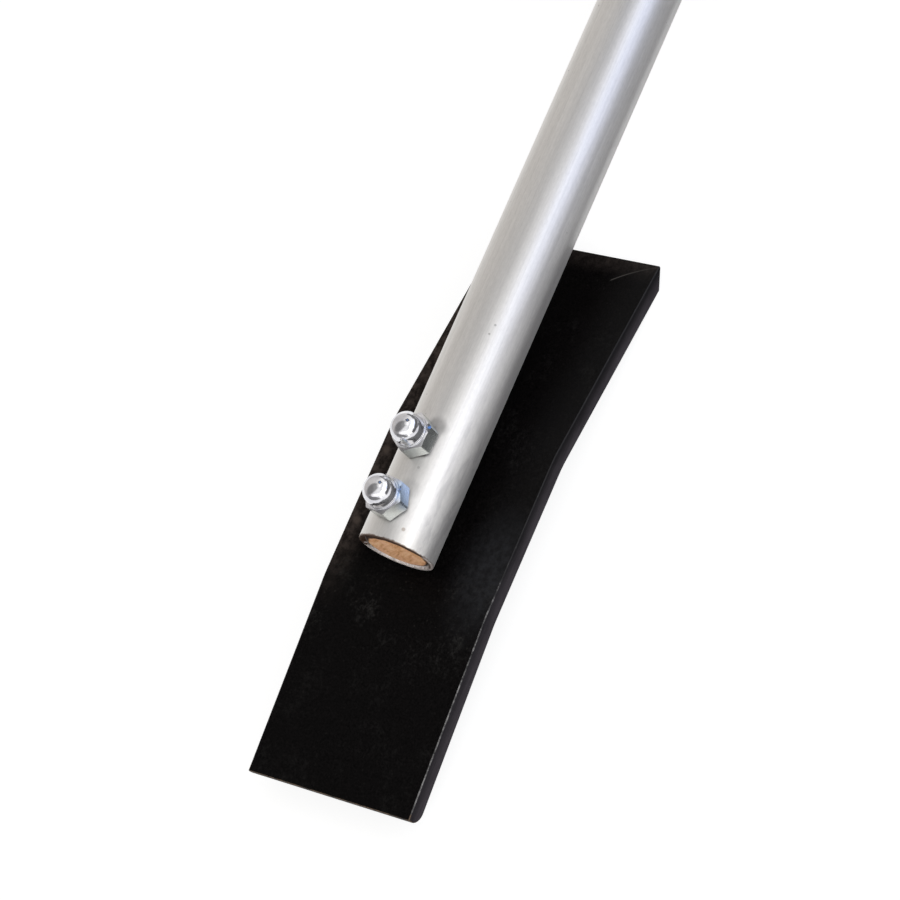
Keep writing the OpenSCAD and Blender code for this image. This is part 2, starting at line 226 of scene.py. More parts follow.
# Darkening of the rim, its upper half and one corner by the bore: brown dirt with painted shade
RIM_TOP = (AXIS_Z - 3 * MM, AXIS_Z + 7 * MM)
RIM_INSIDE = (HEAD_R - 0.8 * MM, HEAD_R - 1.2 * MM)
RIM_CORNER = (-7 * MM, -10.5 * MM)
WOOD_SLANT = (math.radians(-43.6), 0, 0)
# Painted shade in the gap round the dowel, wider on its upper half
CORE_GAP_SHADE = (CORE_R - 1.5 * MM, CORE_R - 0.5 * MM)
CORE_TOP = (AXIS_Z, AXIS_Z + 6 * MM)
CORE_TOP_SHADE_WIDENING = 0.9 * MM
CORE_WAVE = 2 * MM
# Painted reflection of a blue light on the lower nut's side
BLUE_REFLECTION = (LOWER_BOLT_X + 3 * MM, -6 * MM, AXIS_Z + HEAD_R + 3 * MM)
BLUE_REFLECTION_SIZE = (7 * MM, 3 * MM)

# Places of marks and wear on the blade, and of the reflection, highlight, glints and shade painted on it
EDGE_SHEEN = (HALF_BLADE - 14 * MM, HALF_BLADE + 2 * MM)
EDGE_SHEEN_START = (TUBE_END - 26 * MM, TUBE_END + 18 * MM)
END_HAZE = (blade_high.x - 9 * MM, blade_high.x)
BEND_HIGHLIGHT_CENTRE = (TUBE_END + 4 * MM, -31 * MM, 0)
BEND_HIGHLIGHT = (20 * MM, 2 * MM)
PAINTED_GLINTS = ((TUBE_END + 40 * MM, 33 * MM, 0), (TUBE_END + 12 * MM, 32.3 * MM, 0))
GLINT_SIZE = (2.4 * MM, 0.6 * MM)
SCUFFED_LINE = (TUBE_END - 14 * MM, 0, 0)
SCUFFED_BAND = (26 * MM, 6 * MM)
SCRATCH_CENTRE = (TUBE_END + 82.7 * MM, -52.5 * MM, 0)
SCRATCH_R = 53.1 * MM
SCRATCH_WIDTH = (0.35 * MM, 0.1 * MM)
SCRATCH_SIDE = (-19 * MM, -20 * MM)
SCRATCH_TAIL = (-34 * MM, -20 * MM)
SCRATCH_START = (TUBE_END + 110 * MM, TUBE_END + 120 * MM)
BESIDE_TUBE = (TUBE_END - 10 * MM, TUBE_END + 5 * MM)
RUBBED_SIDE = (-12 * MM, -HALF_BLADE)
# Painted shade and light on the blade's sides: where it changes along the blade, and how deep below the
# face it reaches
SIDE_DARKENS = (TUBE_END - 20 * MM, TUBE_END + 40 * MM)
SIDE_DEPTH = 0.8 * BLADE_T
WORN_EDGE = (TUBE_END + 40 * MM, TUBE_END - 40 * MM)
BROWN_TIP = (blade_low.x + 3 * MM, blade_low.x + 2 * MM)

# Depths of the finest relief
BUMP_DEPTH = 0.1 * MM
TUBE_BUMP_DEPTH = 0.05 * MM
WOOD_BUMP_DEPTH = 0.2 * MM


# Modelling steps

CUBE = bpy.ops.mesh.primitive_cube_add
CYLINDER = bpy.ops.mesh.primitive_cylinder_add
PLANE = bpy.ops.mesh.primitive_plane_add


def select_all():
    """Selects all of the piece that is open for editing."""
    bpy.ops.mesh.select_all(action="SELECT")


def leave_editing():
    """Closes the piece that is open for editing."""
    bpy.ops.object.mode_set(mode="OBJECT")


def start(name, primitive, sizes=(1, 1, 1), **settings):
    """Adds a primitive, stretches it to its sizes, puts its place in its mesh and opens it for editing."""
    bpy.ops.object.select_all(action="DESELECT")
    primitive(**settings)
    piece = bpy.context.object
    piece.scale = sizes
    piece.name = name
    piece.data.name = name
    bpy.ops.object.transform_apply(location=True, rotation=True, scale=True)
    bpy.ops.object.mode_set(mode="EDIT")
    bpy.ops.mesh.select_mode(type="VERT")
    select_all()
    return piece


def pick(piece, kind, wanted):
    """Selects the faces, edges or vertices of the open piece for which wanted is true."""
    bpy.ops.mesh.select_all(action="DESELECT")
    bpy.ops.mesh.select_mode(type={"faces": "FACE", "edges": "EDGE", "verts": "VERT"}[kind])
    mesh = bmesh.from_edit_mesh(piece.data)
    for element in getattr(mesh, kind):
        element.select_set(bool(wanted(element)))
    mesh.select_flush_mode()
    bmesh.update_edit_mesh(piece.data)


def smooth(angle=SMOOTH_ANGLE):
    """Smooths the faces of the selected piece that meet under the angle."""
    bpy.ops.object.shade_smooth_by_angle(angle=angle)


def close(piece):
    """Leaves edit mode and smooths the piece."""
    leave_editing()
    smooth()
    return piece


def block(name, primitive, **settings):
    """Adds a primitive that another shape is joined to, cut by or covered with."""
    piece = start(name, primitive, **settings)
    leave_editing()
    return piece


def draw(name, points):
    """Starts a piece as a line of edges, drawn by extruding one corner after another."""
    piece = start(name, PLANE, size=MM, location=points[0])
    bpy.ops.mesh.merge(type="CENTER")
    for here, there in zip(points, points[1:]):
        bpy.ops.mesh.extrude_region_move(TRANSFORM_OT_translate={"value": there - here})
    return piece


def rounded(corners, steps=4):
    """Outline points, with each corner that has a third number rounded to that radius."""
    points = []
    for i, corner in enumerate(corners):
        here = Vector(corner[:2])
        if len(corner) == 2:
            points.append(here)
            continue
        before = (Vector(corners[i - 1][:2]) - here).normalized()
        after = (Vector(corners[(i + 1) % len(corners)][:2]) - here).normalized()
        half = before.angle(after) / 2
        radius = corner[2]
        centre = here + (before + after).normalized() * radius / math.sin(half)
        first = here + before * radius / math.tan(half) - centre
        last = here + after * radius / math.tan(half) - centre
        sweep = math.pi - 2 * half
        for k in range(steps + 1):
            share = k / steps
            points.append(centre + (first * math.sin((1 - share) * sweep)
                                    + last * math.sin(share * sweep)) / math.sin(sweep))
    return points


def turned(name, centre, along, out, outline, closed=True, sides=SIDES):
    """A piece turned about a line from an outline of (place along the line, radius) points."""
    points = [centre + along * place + out * radius for place, radius in outline]
    if closed:
        points.append(points[0])
    piece = draw(name, points)
    select_all()
    bpy.ops.mesh.spin(steps=sides, angle=math.tau, center=centre, axis=along)
    select_all()
    bpy.ops.mesh.remove_doubles(threshold=MERGE_REACH)
    bpy.ops.mesh.normals_make_consistent(inside=False)
    return close(piece)


def pole_turned(name, x, outline, **settings):
    """A piece turned about the pole's axis, with places measured along the pole from x."""
    return turned(name, Vector((x, 0, AXIS_Z)), X_AXIS, Z_AXIS, outline, **settings)


def make_active(piece):
    """Selects a piece alone."""
    bpy.ops.object.select_all(action="DESELECT")
    piece.select_set(True)
    bpy.context.view_layer.objects.active = piece


def apply_modifier(piece, kind, **settings):
    """Adds a modifier with its settings and applies it."""
    make_active(piece)
    modifier = piece.modifiers.new(kind.lower(), kind)
    for setting, value in settings.items():
        setattr(modifier, setting, value)
    bpy.ops.object.modifier_apply(modifier=modifier.name)


def combine(piece, tool, operation):
    """Cuts the tool's shape out of a piece, or adds it, and deletes the tool."""
    apply_modifier(piece, "BOOLEAN", object=tool, operation=operation, solver="EXACT")
    bpy.data.objects.remove(tool)


def cut(piece, primitive, **settings):
    """Cuts a primitive out of a piece."""
    combine(piece, block("tool", primitive, **settings), "DIFFERENCE")


def coat(piece, *finishes):
    """Adds finishes to a piece, the first of them on all its faces."""
    for finish in finishes:
        piece.data.materials.append(finish)


def repaint(piece, finish, wanted):
    """Gives one of a piece's finishes to the faces for which wanted is true."""
    place = piece.data.materials.find(finish.name)
    for face in piece.data.polygons:
        if wanted(face):
            face.material_index = place


def low_dome(radius, height, steps):
    """Outline of a shallow dome from its top to its rim, as (depth below the top, radius) points."""
    dome_r = (radius ** 2 + height ** 2) / (2 * height)
    half_sweep = math.asin(radius / dome_r)
    angles = [half_sweep * k / steps for k in range(steps + 1)]
    return [(dome_r - dome_r * math.cos(angle), dome_r * math.sin(angle)) for angle in angles]


def dress(piece, material, slot, body, *nodes):
    """Gives a piece its finish, puts it under the body it moves with, and hides the nodes it stands for."""
    if material.name not in piece.data.materials:
        coat(piece, material)
    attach(piece, body)
    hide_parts(*nodes)
    return piece


# Shader nodes

class Shading:
    """Holds what the steps below add to: the node tree of the last material, group or sky begun."""
    tree = None
    material = None
    shader = None


def link(output, socket):
    """Connects an output to an input."""
    Shading.tree.links.new(output, socket)


def add_node(kind, feeds=None, **settings):
    """Adds a node, sets it up, and fills its inputs with values or with other nodes' outputs."""
    made = Shading.tree.nodes.new("ShaderNode" + kind)
    for setting, value in settings.items():
        setattr(made, setting, value)
    for socket, value in (feeds or {}).items():
        if isinstance(value, bpy.types.NodeSocket):
            link(value, made.inputs[socket])
        else:
            made.inputs[socket].default_value = value
    return made


def calc(operation, *values, clamp=False):
    """Output of a Math node."""
    made = add_node("Math", dict(enumerate(values)), operation=operation, use_clamp=clamp)
    return made.outputs[0]


def times(first, second, clamp=False):
    """Output of a Math node that multiplies."""
    return calc("MULTIPLY", first, second, clamp=clamp)


def vector(operation, *values):
    """Output of a VectorMath node."""
    made = add_node("VectorMath", dict(enumerate(values)), operation=operation)
    return made.outputs["Value" if operation == "LENGTH" else "Vector"]


def ramp(value, *stops):
    """Output of a colour ramp with (place, grey or colour) stops."""
    made = add_node("ValToRGB", {"Fac": value})
    elements = made.color_ramp.elements
    while len(elements) < len(stops):
        elements.new(0.5)
    for element, (place, shade) in zip(elements, stops):
        element.position = place
        element.color = (*shade, 1) if isinstance(shade, tuple) else (shade, shade, shade, 1)
    return made.outputs["Color"]


def mix(share, first, second, blend="MIX"):
    """Output of a colour Mix node, whose inputs 0, 6 and 7 are its share and its two colours."""
    colours = [(*value, 1) if isinstance(value, tuple) else value for value in (first, second)]
    feeds = {0: share, 6: colours[0], 7: colours[1]}
    return add_node("Mix", feeds, data_type="RGBA", blend_type=blend).outputs[2]


def noise(scale, detail=3, roughness=0.55, distortion=0, coords=None):
    """Value of a noise texture, over the object coordinates if no others are given."""
    made = add_node("TexNoise", {"Vector": coords or object_coords(), "Scale": scale, "Detail": detail,
                                 "Roughness": roughness, "Distortion": distortion})
    return made.outputs["Fac"]


def object_coords(scale=(1, 1, 1), turn=(0, 0, 0)):
    """Object coordinates, scaled and turned."""
    coords = add_node("TexCoord").outputs["Object"]
    placed = add_node("Mapping", {"Vector": coords, "Rotation": turn, "Scale": scale})
    return placed.outputs["Vector"]


def stretched_coords(turn, scale):
    """Object coordinates, turned and then stretched along the turned axes."""
    return vector("MULTIPLY", object_coords(turn=turn), scale)


def coordinate(axis):
    """One of the object coordinates."""
    return add_node("SeparateXYZ", {0: object_coords()}).outputs[axis]


def distance_from(place, counted=(1, 1, 1)):
    """Distance of a point from a place, along the axes that are counted."""
    offset = vector("SUBTRACT", object_coords(), place)
    return vector("LENGTH", vector("MULTIPLY", offset, counted))


def fade(value, none, full):
    """0 where the value is at none, 1 where it is at full, and smooth between."""
    made = add_node("MapRange", {"Value": value, "From Min": none, "From Max": full},
                    interpolation_type="SMOOTHSTEP")
    return made.outputs[0]


def new_group(name, inputs, outputs):
    """A shader node group with number inputs of (name, value) and number outputs."""
    tree = bpy.data.node_groups.new(name, "ShaderNodeTree")
    Shading.tree = tree
    for socket, value in inputs:
        made = tree.interface.new_socket(socket, in_out="INPUT", socket_type="NodeSocketFloat")
        made.default_value = value
    for socket in outputs:
        tree.interface.new_socket(socket, in_out="OUTPUT", socket_type="NodeSocketFloat")
    given = tree.nodes.new("NodeGroupInput")
    result = tree.nodes.new("NodeGroupOutput")
    return tree, given.outputs, result.inputs


def use_group(group, **values):
    """Places a node group in a material with its own values, and returns its outputs."""
    return add_node("Group", values, node_tree=group).outputs


def streaks_group():
    """Fine streaks along the pole, as drawing leaves on a tube."""
    group, given, result = new_group("drawn_streaks", [("Across", 1400), ("Along", 14)],
                                     ["Streak", "Cloud"])
    coords = object_coords()
    sizes = {"X": given["Along"], "Y": given["Across"], "Z": given["Across"]}
    fine = vector("MULTIPLY", coords, add_node("CombineXYZ", sizes).outputs[0])
    slow = vector("MULTIPLY", coords, (12, 60, 60))
    link(noise(1, detail=4, roughness=0.6, coords=fine), result["Streak"])
    link(noise(1, coords=slow), result["Cloud"])
    return group


def specks_group():
    """Scattered small spots of several sizes."""
    group, given, result = new_group("specks", [("Scale", 300), ("Size", 0.2), ("Amount", 0.2)], ["Mask"])
    cells = add_node("TexVoronoi", {"Vector": object_coords(), "Scale": given["Scale"]})
    chance = add_node("SeparateColor", {"Color": cells.outputs["Color"]})
    chosen = calc("LESS_THAN", chance.outputs[0], given["Amount"])
    reach = times(chance.outputs[1], given["Size"])
    inside = calc("LESS_THAN", cells.outputs["Distance"], reach)
    link(times(chosen, inside), result["Mask"])
    return group


def grain_group():
    """Fine texture of a moulded surface."""
    group, given, result = new_group("moulded_grain", [("Scale", 1500)], ["Height", "Tone"])
    link(noise(given["Scale"], detail=4, roughness=0.65), result["Height"])
    link(noise(calc("DIVIDE", given["Scale"], 30), detail=4), result["Tone"])
    return group


def scuffs_group():
    """Soft rubbed patches broken up by a finer pattern."""
    group, given, result = new_group("scuffs", [("Scale", 30), ("Amount", 0.4)], ["Mask"])
    patches = noise(given["Scale"], detail=5, roughness=0.7)
    fine = noise(times(given["Scale"], 12), detail=4, roughness=0.7)
    low = calc("SUBTRACT", 0.55, times(given["Amount"], 0.4))
    above = calc("SUBTRACT", times(patches, fine), low)
    link(times(above, 6, clamp=True), result["Mask"])
    return group


STREAKS = streaks_group()
SPECKS = specks_group()
GRAIN = grain_group()
SCUFFS = scuffs_group()


def new_material(name, **constants):
    """Begins a material, sets the constants on its Principled shader and returns the shader's inputs."""
    Shading.material = bpy.data.materials.new(name)
    Shading.material.use_nodes = True
    Shading.tree = Shading.material.node_tree
    Shading.shader = Shading.tree.nodes["Principled BSDF"]
    for socket, value in constants.items():
        Shading.shader.inputs[socket.replace("_", " ")].default_value = value
    return Shading.shader.inputs


def feed(colour, roughness, height=None, bump=0, depth=BUMP_DEPTH):
    """Connects a colour, a roughness and a bump height to the shader, and returns the material."""
    inputs = Shading.shader.inputs
    link(colour, inputs["Base Color"])
    link(roughness, inputs["Roughness"])
    if height is not None:
        made = add_node("Bump", {"Height": height, "Strength": bump, "Distance": depth})
        link(made.outputs["Normal"], inputs["Normal"])
    return Shading.material


def span(value, low, high):
    """A value from 0 to 1 stretched to a range."""
    return add_node("MapRange", {"Value": value, "To Min": low, "To Max": high}).outputs[0]


def nut_painted_shade():
    """Painted shade on the tube beside each nut, broken up, for the nut's shadow and dark reflection."""
    shade_by_nuts = []
    for x, weight in zip(BOLT_XS, NUT_SHADE_WEIGHTS):
        off_shade = distance_from((x + NUT_SHADE_ALONG, NUT_SHADE_ACROSS, 0), (1, 1, 0))
        shade_by_nuts.append(times(fade(off_shade, *NUT_SHADE_SIZE), weight))
    broken = noise(220, detail=4)
    return times(calc("MAXIMUM", *shade_by_nuts), broken, clamp=True)


def tube_aluminium():
    """Satin mill finish: streaks that spread light across, clouds, specks, a rubbed and chipped end,
    stains on one flank, a brown mark, and painted shade by the nuts for their shadow and dark reflection."""
    inputs = new_material("tube_aluminium", Metallic=0.85, Specular_IOR_Level=0.2, Anisotropic=0.6)
    around = add_node("Tangent", direction_type="RADIAL", axis="X")
    link(around.outputs[0], inputs["Tangent"])
    x = coordinate("X")
    lines = use_group(STREAKS)
    broad = use_group(STREAKS, Across=260, Along=5)
    specks = use_group(SPECKS, Scale=260, Size=0.13, Amount=0.2)
    tone = calc("ADD", times(lines["Streak"], 0.4), times(broad["Streak"], 0.6))
    metal = ramp(tone, (0.3, (0.77, 0.75, 0.725)), (0.7, (0.96, 0.94, 0.915)))
    clouded = mix(span(lines["Cloud"], 0, 0.3), metal, (0.68, 0.67, 0.655))
    spotted = mix(times(specks["Mask"], 0.5), clouded, (0.22, 0.2, 0.19))
    rubbed = mix(times(fade(x, *RUBBED_END), 0.5), spotted, (1.0, 0.985, 0.965))
    grain = noise(1, detail=4, roughness=0.65, coords=object_coords(scale=(500, 1300, 1300)))
    grained = mix(1.0, rubbed, ramp(grain, (0.3, 0.9), (0.7, 1.0)), "MULTIPLY")
    lined = mix(1.0, grained, ramp(tone, (0.3, 0.94), (0.6, 1.0)), "MULTIPLY")
    wavy = noise(1, detail=4, roughness=0.6, distortion=0.8, coords=object_coords(scale=(70, 250, 250)))
    on_flank = times(fade(coordinate("Y"), *STAINED_FLANK), fade(x, *STAINED_LENGTH))
    stains = times(on_flank, span(fade(wavy, 0.45, 0.62), 0, 0.32))
    stained = mix(stains, lined, (0.45, 0.44, 0.445))
    # Painted shade by the nuts, for their shadow and dark reflection on the tube
    nut_shaded = mix(times(nut_painted_shade(), 0.75), stained, (0.33, 0.32, 0.315))
    chips = noise(300, detail=4, roughness=0.6)
    at_end = fade(calc("MULTIPLY_ADD", chips, CHIP_DEPTH, x), *CHIPPED_END)
    chipped = mix(times(at_end, 0.85), nut_shaded, (0.16, 0.09, 0.06))
    mark = fade(distance_from(BROWN_MARK), *BROWN_MARK_SIZE)
    marked = mix(times(mark, 0.5), chipped, (0.3, 0.19, 0.12))
    return feed(marked, span(tone, 0.34, 0.46), lines["Streak"], 0.06, TUBE_BUMP_DEPTH)


def sawn_rim():
    """Sawn tube end: pale metal, with brown dirt, chips and painted shade along its upper half and in one
    corner by the bore.
    """
    new_material("sawn_rim", Metallic=0.5)
    fine = noise(900, detail=4, roughness=0.7)
    patches = noise(420)
    metal = ramp(fine, (0.35, (0.58, 0.50, 0.475)), (0.6, (1.0, 0.92, 0.89)))
    upper = fade(coordinate("Z"), *RIM_TOP)
    # Brown dirt with painted shade: the rim's upper half and one corner by the bore are darkened for the
    # shade of the gap
    grime_and_shade = fade(calc("ADD", times(upper, 0.5), patches), 0.62, 0.78)
    radius = distance_from((0, 0, AXIS_Z), (0, 1, 1))
    corner = times(fade(radius, *RIM_INSIDE), fade(coordinate("Y"), *RIM_CORNER))
    darkened = mix(calc("MAXIMUM", grime_and_shade, times(corner, 0.9)), metal, (0.10, 0.055, 0.035))
    return feed(darkened, span(fine, 0.3, 0.5), fine, 0.4)


def core_wood():
    """Sawn wood: slanting darker streaks, pinkish patches, pores, and painted shade in the gap round it,
    wider on its upper half.
    """
    new_material("core_wood", Specular_IOR_Level=0.25)
    streaks = noise(1, detail=5, roughness=0.6, distortion=0.6,
                    coords=stretched_coords(WOOD_SLANT, (300, 620, 130)))
    pores = noise(1, detail=2, coords=stretched_coords(WOOD_SLANT, (900, 1900, 700)))
    patches = noise(190, detail=2)
    tone = calc("ADD", times(streaks, 0.75), times(pores, 0.25))
    wood = ramp(tone, (0.32, (0.42, 0.185, 0.08)), (0.43, (0.71, 0.36, 0.17)),
                (0.54, (0.87, 0.51, 0.285)), (0.68, (0.93, 0.61, 0.385)))
    pinkish = mix(fade(patches, 0.5, 0.68), wood, (0.89, 0.50, 0.335))
    blended = mix(0.45, wood, pinkish)
    waves = times(calc("SUBTRACT", patches, 0.5), CORE_WAVE)
    radius = calc("ADD", distance_from((0, 0, AXIS_Z), (0, 1, 1)), waves)
    upper = fade(coordinate("Z"), *CORE_TOP)
    widened = calc("MULTIPLY_ADD", upper, CORE_TOP_SHADE_WIDENING, radius)
    # Painted shade in the gap round the dowel, wider on its upper half where the rim shades it
    darkened = mix(fade(widened, *CORE_GAP_SHADE), blended, (0.045, 0.022, 0.014))
    return feed(darkened, span(pores, 0.65, 0.9), tone, 0.5, WOOD_BUMP_DEPTH)


def plated(name, metal, dark, light, rough_low, rough_high, wave):
    """Bright plate with handling haze, slight waves and a bluish patch painted as the reflection of a blue
    light.
    """
    new_material(name, Metallic=metal)
    haze = noise(240)
    waves = noise(420, detail=2)
    colour = ramp(haze, (0.3, dark), (0.7, light))
    # Painted reflection: a bluish patch on the lower nut for a blue light it mirrors
    blue = fade(distance_from(BLUE_REFLECTION), *BLUE_REFLECTION_SIZE)
    tinted = mix(times(blue, 0.8), colour, (0.50, 0.66, 0.92))
    return feed(tinted, span(haze, rough_low, rough_high), waves, wave)


def bloomed(name, metal, dark, light, rough_low, rough_high, bump, scale, detail, roughness=0.55):
    """Metal with an uneven bloom: bolt heads, rivets, and the underside of the nuts, painted dark as shade
    under them.
    """
    new_material(name, Metallic=metal)
    bloom = noise(scale, detail=detail, roughness=roughness)
    colour = ramp(bloom, (0.3, dark), (0.7, light))
    return feed(colour, span(bloom, rough_low, rough_high), bloom if bump else None, bump)


def blade_black():
    """Matte black sheet: fine grain, dust, scuffs, a curved scratch, a paler tone towards the upper end,
    and
    painted light: a reflection by one edge, a highlight at the bend and two glints."""
    inputs = new_material("blade_black")
    grain = use_group(GRAIN, Scale=1800)
    dust = use_group(SPECKS, Scale=700, Size=0.3, Amount=0.3)
    scuffs = use_group(SCUFFS, Scale=60, Amount=0.67)
    x = coordinate("X")
    y = coordinate("Y")
    black = ramp(grain["Height"], (0.36, (0.0003, 0.00025, 0.00025)), (0.68, (0.0062, 0.0053, 0.0055)))
    mottle = noise(330, detail=6, roughness=0.75)
    blotchy = fade(mottle, 0.36, 0.66)
    # Painted reflection: the blade is paler by its +Y edge, for the lighter surroundings it mirrors there
    edge_sheen = times(fade(y, *EDGE_SHEEN), fade(x, *EDGE_SHEEN_START))
    end_haze = times(fade(x, *END_HAZE), 0.33)
    # Paler share: the painted reflection by the edge, and a paler tone towards the upper end
    haze = times(calc("MAXIMUM", edge_sheen, end_haze), span(blotchy, 0.25, 1.0))
    brown = mix(haze, black, (0.078, 0.062, 0.055))
    # Painted highlight: a soft bluish sheen on the blade by the lower bend
    bend_highlight = fade(distance_from(BEND_HIGHLIGHT_CENTRE, (0.6, 1, 0)), *BEND_HIGHLIGHT)
    bluish = mix(times(bend_highlight, span(blotchy, 0.2, 0.55)), brown, (0.034, 0.035, 0.039))
    # Painted light: two soft pale spots where the nuts throw light onto the blade
    spots = [fade(distance_from(place, (1, 1, 0)), *GLINT_SIZE) for place in PAINTED_GLINTS]
    with_glints = mix(times(calc("MAXIMUM", *spots), 0.6), bluish, (0.10, 0.078, 0.066))
    scuffed_band = fade(distance_from(SCUFFED_LINE, (1, 0, 0)), *SCUFFED_BAND)
    scuffed = times(scuffs["Mask"], span(scuffed_band, 0.3, 0.8))
    rubbed = mix(scuffed, with_glints, (0.028, 0.027, 0.026))
    dusted = times(dust["Mask"], span(scuffed_band, 0.12, 0.35))
    dusty = mix(dusted, rubbed, (0.03, 0.028, 0.026))
    from_centre = distance_from(SCRATCH_CENTRE, (1, 1, 0))
    off_scratch = calc("ABSOLUTE", calc("SUBTRACT", from_centre, SCRATCH_R))
    on_arc = times(fade(y, *SCRATCH_SIDE), fade(x, *SCRATCH_START))
    scratch = times(fade(off_scratch, *SCRATCH_WIDTH), on_arc)
    strength = span(fade(y, *SCRATCH_TAIL), 0.2, 0.8)
    scratched = mix(times(scratch, strength), dusty, (0.07, 0.065, 0.06))
    gloss = calc("MULTIPLY_ADD", fade(y, *RUBBED_SIDE), 0.09, -0.04)
    specular = calc("MULTIPLY_ADD", gloss, fade(x, *BESIDE_TUBE), 0.045)
    link(specular, inputs["Specular IOR Level"])
    return feed(scratched, span(grain["Tone"], 0.42, 0.6), grain["Height"], 0.12)


def blade_sawn_side():
    """Sawn sides of the blade: greyer than its face, with fine lengthwise saw lines, painted shade next to
    the face and painted light from the floor lower down.
    """
    new_material("blade_sawn_side", Specular_IOR_Level=0.2)
    lines = noise(1, detail=4, roughness=0.65, coords=object_coords(scale=(60, 500, 1600)))
    patches = noise(60)
    tone = calc("ADD", times(lines, 0.6), times(patches, 0.4))
    colour = ramp(tone, (0.3, (0.0175, 0.0155, 0.0185)), (0.7, (0.045, 0.0405, 0.047)))
    x = coordinate("X")
    # Painted shade and light by depth below the face: darker next to the face, most towards the upper end,
    # and lighter lower down
    past_upper = calc("MAXIMUM", calc("SUBTRACT", x, UPPER_BEND_X), 0)
    past_lower = calc("MAXIMUM", calc("SUBTRACT", LOWER_BEND_X, x), 0)
    drop = calc("MULTIPLY_ADD", past_upper, math.tan(UPPER_SLOPE), times(past_lower, math.tan(LOWER_SLOPE)))
    depth = calc("SUBTRACT", calc("SUBTRACT", FACE_Z, drop), coordinate("Z"))
    near_face = span(fade(x, *SIDE_DARKENS), 0.65, 0.3)
    shaded = mix(fade(depth, 0, SIDE_DEPTH), near_face, (1.5, 1.45, 1.42))
    graded = mix(1.0, colour, shaded, "MULTIPLY")
    return feed(graded, span(lines, 0.5, 0.7), lines, 0.2)


def blade_worn_edge():
    """Edges of the blade, rubbed pale in broken stretches, mostly towards the lower tip."""
    new_material("blade_worn_edge", Specular_IOR_Level=0.3)
    breaks = noise(260, detail=7, roughness=0.8)
    x = coordinate("X")
    lower = fade(x, *WORN_EDGE)
    worn = fade(calc("MULTIPLY_ADD", lower, 0.23, breaks), 0.59, 0.89)
    rubbed = mix(fade(x, *BROWN_TIP), (0.30, 0.29, 0.285), (0.17, 0.115, 0.075))
    colour = mix(worn, (0.012, 0.0115, 0.0125), rubbed)
    return feed(colour, span(breaks, 0.35, 0.6), breaks, 0.3)


def moulded(name, dark, light, rough_low, rough_high, scale, bump, specular=0.5):
    """Moulded plastic or rubber: fine grain, uneven tone and rubbed patches."""
    new_material(name, Specular_IOR_Level=specular)
    grain = use_group(GRAIN, Scale=scale)
    scuffs = use_group(SCUFFS, Scale=40, Amount=0.36)
    dust = use_group(SPECKS, Scale=320, Size=0.12, Amount=0.12)
    uneven = ramp(grain["Tone"], (0.3, dark), (0.7, light))
    paler = tuple(min(1, 2.2 * shade + 0.01) for shade in light)
    rubbed = mix(times(scuffs["Mask"], 0.35), uneven, paler)
    dusty = mix(times(dust["Mask"], 0.3), rubbed, (0.2, 0.19, 0.18))
    return feed(dusty, span(grain["Tone"], rough_low, rough_high), grain["Height"], bump)


ALUMINIUM = tube_aluminium()
RIM = sawn_rim()
WOOD = core_wood()
DOME_PLATE = plated("bright_plate", 0.87, (0.62, 0.62, 0.665), (0.87, 0.87, 0.89), 0.07, 0.14, 0.16)
FLAT_PLATE = plated("plated_flats", 0.88, (0.54, 0.565, 0.55), (0.64, 0.665, 0.65), 0.2, 0.32, 0.03)
# Painted shade: the underside of the nuts is darkened for the shade beneath them
SEAT_SHADE = bloomed("nut_seat", 0.3, (0.02, 0.019, 0.018), (0.06, 0.056, 0.052), 0.5, 0.7, 0, 500, 3)
ZINC = bloomed("zinc_bolt", 1.0, (0.55, 0.56, 0.58), (0.72, 0.73, 0.76), 0.22, 0.42, 0.08, 180, 5, 0.65)
BLADE = blade_black()
BLADE_WORN = blade_worn_edge()
BLADE_SIDE = blade_sawn_side()
RIVET = bloomed("rivet_aluminium", 1.0, (0.58, 0.58, 0.59), (0.76, 0.76, 0.77), 0.28, 0.45, 0.15, 500, 4)
LOCK = moulded("lock_plastic", (0.014, 0.014, 0.015), (0.022, 0.022, 0.024), 0.42, 0.58, 1600, 0.25)
BUSH = moulded("bush_plastic", (0.026, 0.026, 0.028), (0.036, 0.036, 0.039), 0.4, 0.55, 1800, 0.1)
COLLET = moulded("collet_plastic", (0.62, 0.61, 0.57), (0.72, 0.71, 0.67), 0.4, 0.5, 1200, 0.08)
RUBBER = moulded("grip_rubber", (0.012, 0.012, 0.012), (0.02, 0.02, 0.0195), 0.68, 0.85, 1400, 0.4, 0.3)


# Pieces of the head

def bend_end(piece, outward, centre, angle, axis_sign, reach):
    """Bends the strip's end face about a line across it, and draws the next flat out of it."""
    pick(piece, "faces", lambda face: face.normal.dot(outward) > FACING)
    bpy.ops.mesh.spin(steps=BEND_STEPS, angle=angle, center=centre, axis=(0, axis_sign, 0))
    mesh = bmesh.from_edit_mesh(piece.data)
    heading = next(face.normal.copy() for face in mesh.faces if face.select)
    bpy.ops.mesh.extrude_region_move(TRANSFORM_OT_translate={"value": heading * reach})
    return heading


def ease_back_edge(piece, heading, size, steps):
    """Bevels the back edge of the tip that the heading points to."""
    mesh = bmesh.from_edit_mesh(piece.data)
    furthest = max(vert.co.dot(heading) for vert in mesh.verts)
    at_tip = [vert for vert in mesh.verts if vert.co.dot(heading) > furthest - TOUCHING]
    lowest = min(vert.co.z for vert in at_tip)
    back = {vert.index for vert in at_tip if vert.co.z < lowest + BACK_EDGE_REACH}
    pick(piece, "edges", lambda edge: all(vert.index in back for vert in edge.verts))
    bpy.ops.mesh.bevel(offset=size, offset_type="OFFSET", segments=steps, profile=0.5, affect="EDGES")


